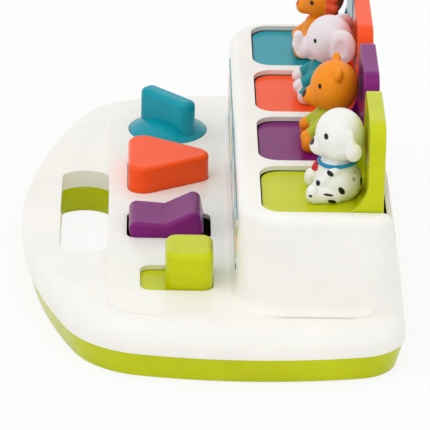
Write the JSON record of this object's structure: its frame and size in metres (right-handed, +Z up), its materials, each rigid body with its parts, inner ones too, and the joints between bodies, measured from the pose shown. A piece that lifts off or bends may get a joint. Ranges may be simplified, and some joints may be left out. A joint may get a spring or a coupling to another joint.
{
  "type": "pop up animal toy",
  "caption": "Toddler activity toy: a row of sprung lids carrying animal figures, released by a turning, pressing, rocking and sliding control, with a carrying handle.",
  "frame": {"origin": "middle of the footprint, on the surface the toy stands on", "axes": "+X along the row of lids, +Y from the carrying handle to the lids, +Z up"},
  "size_m": [0.314, 0.1982, 0.1271],
  "materials": {
    "green_shell": "smooth moulded ABS",
    "white_shell": "smooth moulded ABS, warm white",
    "grey_frame": "fine-textured moulded plastic",
    "printed_film": "printed film, glossy",
    "pad_rubber": "soft grey rubber",
    "steel": "plain steel",
    "teal_plastic": "smooth moulded ABS",
    "orange_plastic": "smooth moulded ABS",
    "purple_plastic": "smooth moulded ABS",
    "green_plastic": "smooth moulded ABS",
    "lion_vinyl": "soft-touch moulded vinyl",
    "shirt_teal": "soft-touch moulded vinyl",
    "elephant_vinyl": "soft-touch moulded vinyl",
    "shirt_green": "soft-touch moulded vinyl",
    "bear_vinyl": "soft-touch moulded vinyl",
    "dog_vinyl": "soft-touch moulded vinyl with painted spots"
  },
  "bodies": {
    "base": {"bottom_tray": "green_shell", "top_housing": "white_shell", "mechanism_frame": "grey_frame", "front_label": "printed_film", "foot_pads": "pad_rubber", "housing_screws": "steel", "frame_screws": "steel", "hinge_rod": "steel", "lever_rod": "steel", "rocker_pin": "steel", "button_spring": "steel"},
    "turn_knob_unit": {"turn_knob": "teal_plastic", "knob_cam": "grey_frame"},
    "button_unit": {"push_button": "orange_plastic"},
    "rocker_unit": {"rocker": "purple_plastic"},
    "slider_unit": {"slider": "green_plastic"},
    "lid_unit_lion": {"lid_lion": "teal_plastic", "lion_body": "lion_vinyl", "lion_head": "lion_vinyl", "figure_screw_lion": "steel", "lid_spring_lion": "steel"},
    "lever_unit_lion": {"release_lever_lion": "grey_frame"},
    "lid_unit_elephant": {"lid_elephant": "orange_plastic", "elephant_body": "shirt_teal", "elephant_head": "elephant_vinyl", "figure_screw_elephant": "steel", "lid_spring_elephant": "steel"},
    "lever_unit_elephant": {"release_lever_elephant": "grey_frame"},
    "lid_unit_bear": {"lid_bear": "purple_plastic", "bear_body": "shirt_green", "bear_head": "bear_vinyl", "figure_screw_bear": "steel", "lid_spring_bear": "steel"},
    "lever_unit_bear": {"release_lever_bear": "grey_frame"},
    "lid_unit_dog": {"lid_dog": "green_plastic", "dog_body": "dog_vinyl", "dog_head": "dog_vinyl", "figure_screw_dog": "steel", "lid_spring_dog": "steel"},
    "lever_unit_dog": {"release_lever_dog": "grey_frame"}
  },
  "joints": [
    {"name": "knob_turn", "type": "hinge", "parent": "base", "child": "turn_knob_unit", "pos_m": [-0.096, -0.0216, 0.031], "axis": [0, 0, -1], "range_deg": [0, 90]},
    {"name": "button_press", "type": "slide", "parent": "base", "child": "button_unit", "axis": [0, 0, -1], "range_m": [0, 0.003], "stiffness_N_per_m": 400, "springref_m": -0.0015, "deforming": ["button_spring"]},
    {"name": "rocker_tilt", "type": "hinge", "parent": "base", "child": "rocker_unit", "pos_m": [0.032, -0.0216, 0.027], "axis": [-1, 0, 0], "range_deg": [0, 22]},
    {"name": "slider_slide", "type": "slide", "parent": "base", "child": "slider_unit", "axis": [0, -1, 0], "range_m": [0, 0.0118]},
    {"name": "lid_swing_lion", "type": "hinge", "parent": "base", "child": "lid_unit_lion", "pos_m": [-0.096, 0.0771, 0.0744], "axis": [1, 0, 0], "range_deg": [0, 90], "stiffness_Nm_per_rad": 0.02, "springref_deg": -68.75},
    {"name": "lever_tilt_lion", "type": "hinge", "parent": "base", "child": "lever_unit_lion", "pos_m": [-0.096, 0.021, 0.018], "axis": [1, 0, 0], "range_deg": [0, 4.05]},
    {"name": "lid_swing_elephant", "type": "hinge", "parent": "base", "child": "lid_unit_elephant", "pos_m": [-0.032, 0.0771, 0.0744], "axis": [1, 0, 0], "range_deg": [0, 90], "stiffness_Nm_per_rad": 0.02, "springref_deg": -68.75},
    {"name": "lever_tilt_elephant", "type": "hinge", "parent": "base", "child": "lever_unit_elephant", "pos_m": [-0.032, 0.021, 0.018], "axis": [1, 0, 0], "range_deg": [0, 4.05]},
    {"name": "lid_swing_bear", "type": "hinge", "parent": "base", "child": "lid_unit_bear", "pos_m": [0.032, 0.0771, 0.0744], "axis": [1, 0, 0], "range_deg": [0, 90], "stiffness_Nm_per_rad": 0.02, "springref_deg": -68.75},
    {"name": "lever_tilt_bear", "type": "hinge", "parent": "base", "child": "lever_unit_bear", "pos_m": [0.032, 0.021, 0.018], "axis": [1, 0, 0], "range_deg": [0, 4.05]},
    {"name": "lid_swing_dog", "type": "hinge", "parent": "base", "child": "lid_unit_dog", "pos_m": [0.096, 0.0771, 0.0744], "axis": [1, 0, 0], "range_deg": [0, 90], "stiffness_Nm_per_rad": 0.02, "springref_deg": -68.75},
    {"name": "lever_tilt_dog", "type": "hinge", "parent": "base", "child": "lever_unit_dog", "pos_m": [0.096, 0.021, 0.018], "axis": [1, 0, 0], "range_deg": [0, 4.05]}
  ],
  "couplings": [
    {"joint": "lever_tilt_lion", "follows": "knob_turn", "ratio": 0.044444},
    {"joint": "lever_tilt_elephant", "follows": "button_press", "rad_per_m": 23.271},
    {"joint": "lever_tilt_bear", "follows": "rocker_tilt", "ratio": 0.18182},
    {"joint": "lever_tilt_dog", "follows": "slider_slide", "rad_per_m": 5.9164}
  ]
}
